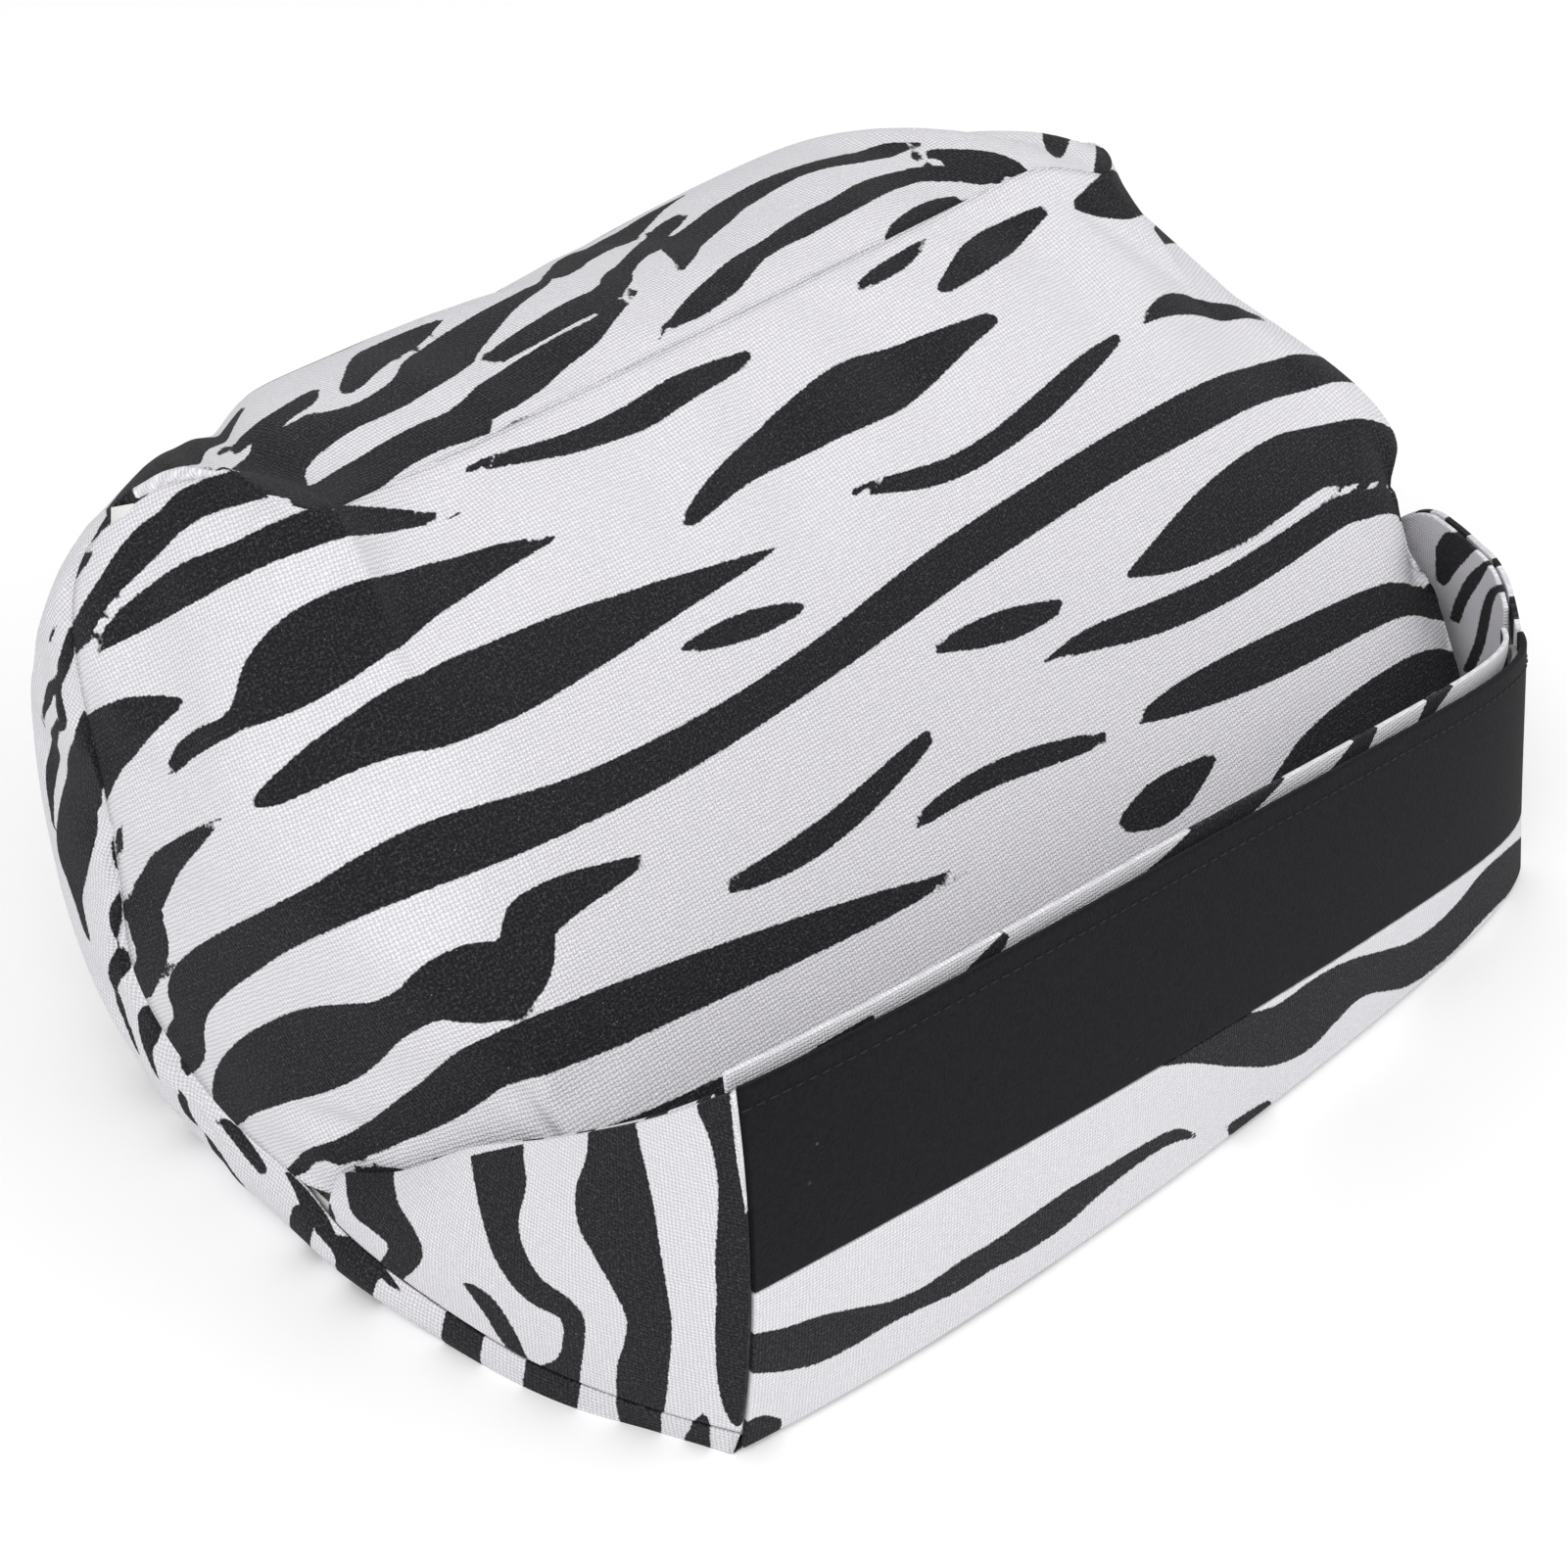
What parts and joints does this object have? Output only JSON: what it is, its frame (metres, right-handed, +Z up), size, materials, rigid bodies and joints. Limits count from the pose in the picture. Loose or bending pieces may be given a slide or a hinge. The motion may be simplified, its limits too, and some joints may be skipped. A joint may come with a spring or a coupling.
{
  "type": "tablet stand cushion",
  "caption": "Cushioned canvas tablet stand: a bead-filled wedge with a slanted rest, a boxed ledge along its front and a zip at the foot of its back.",
  "frame": {"origin": "middle of the base, on the plane that the stand rests on", "axes": "+X along the ledge, to the right as seen from the front; -Y to the front; +Z up"},
  "size_m": [0.3057, 0.2371, 0.1569],
  "materials": {
    "zebra_canvas": "woven cotton canvas printed with black and white zebra stripes",
    "black_velour": "short matte pile",
    "felt": "pressed felt",
    "liner_cloth": "thin plain lining",
    "beads": "expanded polystyrene beads",
    "zip_tape": "woven tape",
    "zip_plastic": "moulded coil",
    "zip_metal": "plated and lightly worn"
  },
  "bodies": {
    "bag": {"rest_panel": "zebra_canvas", "back_panel": "zebra_canvas", "base_panel": "zebra_canvas", "rear_strip": "zebra_canvas", "trough_floor": "zebra_canvas", "front_panel": "zebra_canvas", "front_lining": "zebra_canvas", "ledge_left_wall": "zebra_canvas", "ledge_left_lining": "zebra_canvas", "ledge_right_wall": "zebra_canvas", "ledge_right_lining": "zebra_canvas", "front_band": "black_velour", "lip_stiffener": "felt", "liner_front": "liner_cloth", "liner_back": "liner_cloth", "bead_filling": "beads", "zip_tape_lower": "zip_tape", "zip_tape_upper": "zip_tape", "zip_coil_lower": "zip_plastic", "zip_coil_upper": "zip_plastic", "zip_top_stop_lower": "zip_metal", "zip_top_stop_upper": "zip_metal", "zip_bottom_stop": "zip_metal"},
    "slider": {"zip_slider": "zip_metal"},
    "pull": {"zip_pull": "zip_metal"}
  },
  "joints": [
    {"name": "zip_slide", "type": "slide", "parent": "bag", "child": "slider", "axis": [-1, 0, 0], "range_m": [0, 0.1456]},
    {"name": "pull_hinge", "type": "hinge", "parent": "slider", "child": "pull", "pos_m": [0.0728, 0.11605, 0.01731], "axis": [0, -0.2419, -0.9703], "range_deg": [0, 170]}
  ]
}
